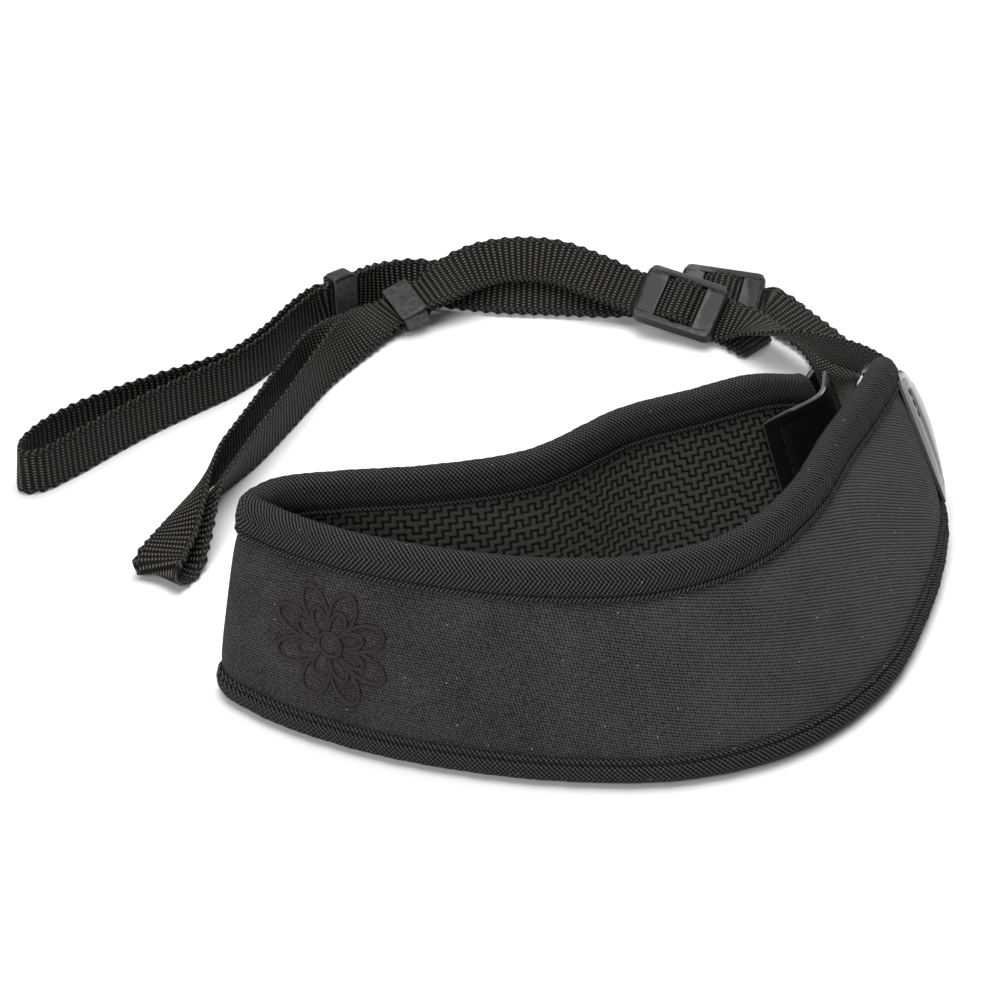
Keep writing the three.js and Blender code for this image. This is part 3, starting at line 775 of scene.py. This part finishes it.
def plastic_finish():
    """Satin moulded plastic, with a painted highlight along its sharp edges."""
    f = Finish("moulded_plastic", Specular_IOR_Level=0.24)
    edge_highlight = f.node("ShaderNodeAttribute", {"attribute_name": "edge_highlight"}, {}, 2)
    grain = f.noise(0.3, 2.0)
    # Painted highlight: the sharp edges are painted paler to stand in for the light that catches them.
    painted_highlight = f.step(edge_highlight * 0.9 + f.noise(1.6, 3.0) * 0.3, 0.8, 1.1)
    colour = f.mix(painted_highlight, (0.005, 0.005, 0.0047), (0.075, 0.074, 0.071))
    return f.feed(Base_Color=colour, Roughness=0.32 + grain * 0.14, Normal=f.bump(grain, 0.03))


def thread_finish(name, colour, roughness):
    """Thread of one colour, uneven along its fibres."""
    f = Finish(name, Roughness=roughness, Specular_IOR_Level=0.3)
    fibre = f.noise(0.2, 2.0)
    dark, pale = [tuple(share * c for c in colour) for share in (0.55, 1.35)]
    return f.feed(Base_Color=f.mix(fibre, dark, pale))


KNIT = knit_finish()
TAPE_CLOTH = tape_finish()
GRIP = grip_finish()
NYLON = web_finish()
LEATHER = leather_finish("leather", 0.6, 0.8)
DULL_LEATHER = leather_finish("dull_leather", 0.1, 0.0)
PLASTIC = plastic_finish()
SEWING = thread_finish("sewing_thread", (0.009, 0.008, 0.008), 0.8)
EMBROIDERY = thread_finish("embroidery_thread", (0.02, 0.0125, 0.012), 0.6)

pad = pad_tube("pad", foam_profile, 1.6, KNIT, "knit", "pad_foam")

# Lining: short raised bars, by turns along and up the pad, as in a basket weave.
CELL = 1.95
CELL_STEPS = 4
BAR_HALF = 0.43
BAR_FOOT = 0.45
BAR_RISE = 0.6
LINING_HEIGHT = PAD_HEIGHT - 2 * LINING_MARGIN


def lining():
    """Rubber sheet inside the pad, flat at its back and barred on its face."""
    rows = int(LINING_HEIGHT / CELL)
    cells = int(PAD_LENGTH / CELL)
    columns = rows * CELL_STEPS + 1
    up_share = np.concatenate([np.linspace(0, 1, columns), [0.999, 0.001]])
    front = np.arange(len(up_share)) < columns

    def shape(share, k):
        s = share * PAD_LENGTH
        _, _, height, _ = wall_at(line_at(s))
        up = LINING_MARGIN + up_share[k] * (height - 2 * LINING_MARGIN)
        a, b = share * cells + 1e-6, up_share[k] * rows + 1e-6
        level = (np.floor(a) + np.floor(b)) % 2 == 0
        off = np.where(level, b % 1, a % 1) - 0.5
        end = np.abs(np.where(level, a % 1, b % 1) - 0.5)
        raised = np.clip(1 - (off / BAR_HALF) ** 2, 0, 1) * np.clip(1.15 - 0.5 * end, 0, 1)
        outside = np.where(front[k], LINING_IN + BAR_FOOT - BAR_RISE * raised, LINING_OUT)
        return on_pad(s, up, outside), np.stack([s, up, raised], 1)

    bm = wrapped(cells * CELL_STEPS, len(up_share), shape)
    return new_piece("lining", bm, GRIP, "grip", "pad_lining")


lining()
LINING_HEIGHT * MM

# Tapes: drawn in a little by each stitch, and uneven over longer stretches.
PUCKER = 3.2


def pucker(s):
    """Swelling of a tape along the pad."""
    return 0.1 * waves(s, PUCKER) + 0.07 * waves(s, 11.3) + 0.06 * waves(s, 7.1)


for name, leg, top, node in (
    ("tape_top", TAPE_LEG_TOP, True, "binding_top"),
    ("tape_foot", TAPE_LEG_FOOT, False, "binding_foot"),
):
    tape = pad_tube(name, tape_profile(leg, top), 0.8, TAPE_CLOTH, "tape", node, ripple=pucker)


def stitch_row(name, count, at, length, radius, finish):
    """Row of sewn stitches: short plump capsules laid by at(share) as middle, along and out."""
    bm = bmesh.new()
    for i in range(count):
        middle, along, out = at((i + 0.5) / count)
        side = np.cross(out, along)
        made = bmesh.ops.create_uvsphere(bm, u_segments=8, v_segments=6, radius=1.0)["verts"]
        axes = np.stack([side * radius, out * radius * 0.8, along * length / 2], 1)
        spread = Matrix(axes.tolist()).to_4x4()
        bmesh.ops.transform(bm, matrix=Matrix.Translation(middle) @ spread, verts=made)
    return new_piece(name, bm, finish, "leather" if "tab" in name else "tape")


def along_tape(up_from_edge, top, outside):
    """Places of stitches along a tape, at a height from the pad's edge and outside its wall."""
    def at(share):
        s = np.array([share * PAD_LENGTH - 0.5, share * PAD_LENGTH + 0.5])
        _, _, height, out = wall_at(line_at(s))
        up = height - up_from_edge if top else np.full(2, up_from_edge)
        places = on_pad(s, up, np.full(2, outside))
        return places.mean(0), unit(places[1] - places[0]), out[0] * np.sign(outside)
    return at


STITCHES = int(PAD_LENGTH / PUCKER)
TAPE_STITCH = 2.3
for edge, leg, top, thread in (
    ("top", TAPE_LEG_TOP, True, 0.32),
    ("foot", TAPE_LEG_FOOT, False, 0.3),
):
    for side, outside in (("outside", FOAM_OUT + STITCH_OUT), ("inside", LINING_IN - STITCH_OUT)):
        at = along_tape(leg - TAPE_GROOVE, top, outside)
        stitch_row("stitches_" + edge + "_" + side, STITCHES, at, TAPE_STITCH, thread, SEWING)

for name, spec, end, side, bulge, pale, sewn, hide in (
    ("front_outer", TAB_FRONT_OUTER, FRONT_END, 1, 3.0, 1.0, 3, LEATHER),
    ("front_inner", TAB_FRONT_INNER, FRONT_END, -1, 0.3, 0.0, 9, DULL_LEATHER),
    ("back_outer", TAB_BACK, BACK_END, 1, 0.8, 1.0, 9, LEATHER),
    ("back_inner", TAB_BACK_INNER, BACK_END, -1, 0.8, 1.0, 9, LEATHER),
):
    leather_tab("leather_" + name, spec, end, side, bulge, pale, sewn, hide, "tab_" + name)

FRONT_STRAP = (FRONT_END, 1, 1, FRONT_LEAD, SLIDER_FRONT, FRONT_BAND, KEEPER_FRONT, FRONT_LOOP,
               FRONT_TAIL)
BACK_STRAP = (BACK_END, -1, -1, BACK_LEAD, SLIDER_BACK, BACK_BAND, KEEPER_BACK, BACK_LOOP,
              BACK_TAIL)
webbing("webbing_front", FRONT_STRAP, NYLON, "strap_front")
webbing("webbing_back", BACK_STRAP, NYLON, "strap_back")
for node, spec, size, corner, sunk in (
    ("slider_front", SLIDER_FRONT, (SLIDER_LENGTH, SLIDER_WIDTH), SLIDER_CORNER, SLIDER_HOLLOW),
    ("slider_back", SLIDER_BACK, (SLIDER_LENGTH, SLIDER_WIDTH), SLIDER_CORNER, SLIDER_HOLLOW),
    ("keeper_front", KEEPER_FRONT, (KEEPER_LENGTH, KEEPER_WIDTH), KEEPER_CORNER, 0),
    ("keeper_back", KEEPER_BACK, (KEEPER_LENGTH, KEEPER_WIDTH), KEEPER_CORNER, 0),
):
    moulded("moulded_" + node, node, spec, size, corner, MOULDED_EDGE, sunk, PLASTIC)

# Embroidered rosette on the pad: eight petals in raised satin cord.
ROSETTE_AT = 210.5
ROSETTE_UP = 24.5
ROSETTE_RADIUS = 15.5
PETALS = 8
CORD = 0.5
SATIN = 0.55
PETAL_ROOT = 0.42
INNER_ROUND = 0.62
EYE = 0.2


def rosette():
    """Two rounds of petals and a ring in the middle."""
    bm = bmesh.new()
    angle = np.linspace(0, TURN, 721)
    reach = ROSETTE_RADIUS * (PETAL_ROOT + 0.58 * np.abs(np.sin(PETALS * angle / 2)) ** 0.7)
    for scale in (1.0, INNER_ROUND):
        s = ROSETTE_AT + scale * reach * np.cos(angle)
        up = ROSETTE_UP + scale * reach * np.sin(angle)
        cord_ring(bm, s, up)
    ring = EYE * ROSETTE_RADIUS
    cord_ring(bm, ROSETTE_AT + ring * np.cos(angle), ROSETTE_UP + ring * np.sin(angle))
    return new_piece("rosette", bm, EMBROIDERY, "knit")


def pad_face(s, up):
    """Distance outside the wall of the pad's plump face."""
    _, _, height, _ = wall_at(line_at(s))
    low, high = face_limits(height)
    return plump(np.clip((up - low) / (high - low), 0, 1))


def cord_ring(bm, s, up):
    """Closed satin cord on the pad's face, lying along a flat line."""
    way = np.concatenate([[0], np.cumsum(np.hypot(np.diff(s), np.diff(up)))])
    count = int(way[-1] / SATIN) * 4
    even = np.linspace(0, way[-1], count + 1)
    s, up = np.interp(even, way, s), np.interp(even, way, up)
    middle = on_pad(s, up, pad_face(s, up) + 0.12)
    _, _, _, out = wall_at(line_at(s))
    along = unit(np.roll(middle[:-1], -1, axis=0) - np.roll(middle[:-1], 1, axis=0))
    along = np.vstack([along, along[:1]])
    side = np.cross(out, along)
    grid = bmesh.new()
    bmesh.ops.create_grid(grid, x_segments=count, y_segments=10, size=0.5)
    flat = np.array([v.co[:2] for v in grid.verts]) + 0.5
    i = np.rint(flat[:, 0] * count).astype(int) % count
    turn = flat[:, 1] * TURN
    ridge = 1 + 0.12 * np.cos(TURN * even[i] / SATIN + turn)
    wide = side[i] * (CORD * 1.2 * ridge * np.cos(turn))[:, None]
    deep = out[i] * (CORD * ridge * np.sin(turn))[:, None]
    for v, p in zip(grid.verts, (middle[i] + (wide + deep)).tolist()):
        v.co = p
    bmesh.ops.remove_doubles(grid, verts=grid.verts[:], dist=1e-4)
    kept = bpy.data.meshes.new("cord")
    grid.to_mesh(kept)
    grid.free()
    bm.from_mesh(kept)
    bpy.data.meshes.remove(kept)


rosette()

# Floor, lights and the camera at the photo's place.
CAMERA_RISE = math.radians(35)
CAMERA_REACH = 664
LENS = 81
FLOOR_REACH = 6.0
WORLD_LIGHT = 0.22

bm = bmesh.new()
bmesh.ops.create_grid(bm, x_segments=1, y_segments=1, size=FLOOR_REACH)
mesh = bpy.data.meshes.new("floor")
bm.to_mesh(mesh)
bm.free()
floor = bpy.data.objects.new("floor", mesh)
bpy.context.scene.collection.objects.link(floor)
white = Finish("white_floor", Base_Color=(0.9, 0.9, 0.9, 1), Roughness=0.9, Specular_IOR_Level=0.1)
mesh.materials.append(white.material)


def light(name, place, size, power):
    """Square studio light aimed at the object."""
    lamp = bpy.data.lights.new(name, "AREA")
    lamp.shape = "SQUARE"
    lamp.size = size
    lamp.energy = power
    made = bpy.data.objects.new(name, lamp)
    made.location = place
    made.rotation_mode = "QUATERNION"
    made.rotation_quaternion = made.location.to_track_quat("Z", "Y")
    bpy.context.scene.collection.objects.link(made)


light("overhead", (0.0, 0.1, 1.2), 1.0, 17)
light("left_front", (-0.7, -1.0, 0.75), 0.55, 8)
light("right_back", (0.6, 1.3, 0.7), 0.5, 6)

world = bpy.data.worlds.new("studio")
world.use_nodes = True
world.node_tree.nodes["Background"].inputs["Color"].default_value = (1, 1, 1, 1)
world.node_tree.nodes["Background"].inputs["Strength"].default_value = WORLD_LIGHT
bpy.context.scene.world = world
bpy.context.scene.view_settings.view_transform = "Standard"

lens = bpy.data.cameras.new("camera")
lens.lens = LENS
camera = bpy.data.objects.new("camera", lens)
eye = np.array([0, -math.cos(CAMERA_RISE), math.sin(CAMERA_RISE)]) * CAMERA_REACH
camera.location = (eye - ORIGIN) * MM
camera.rotation_euler = (math.pi / 2 - CAMERA_RISE, 0, 0)
bpy.context.scene.collection.objects.link(camera)
bpy.context.scene.camera = camera
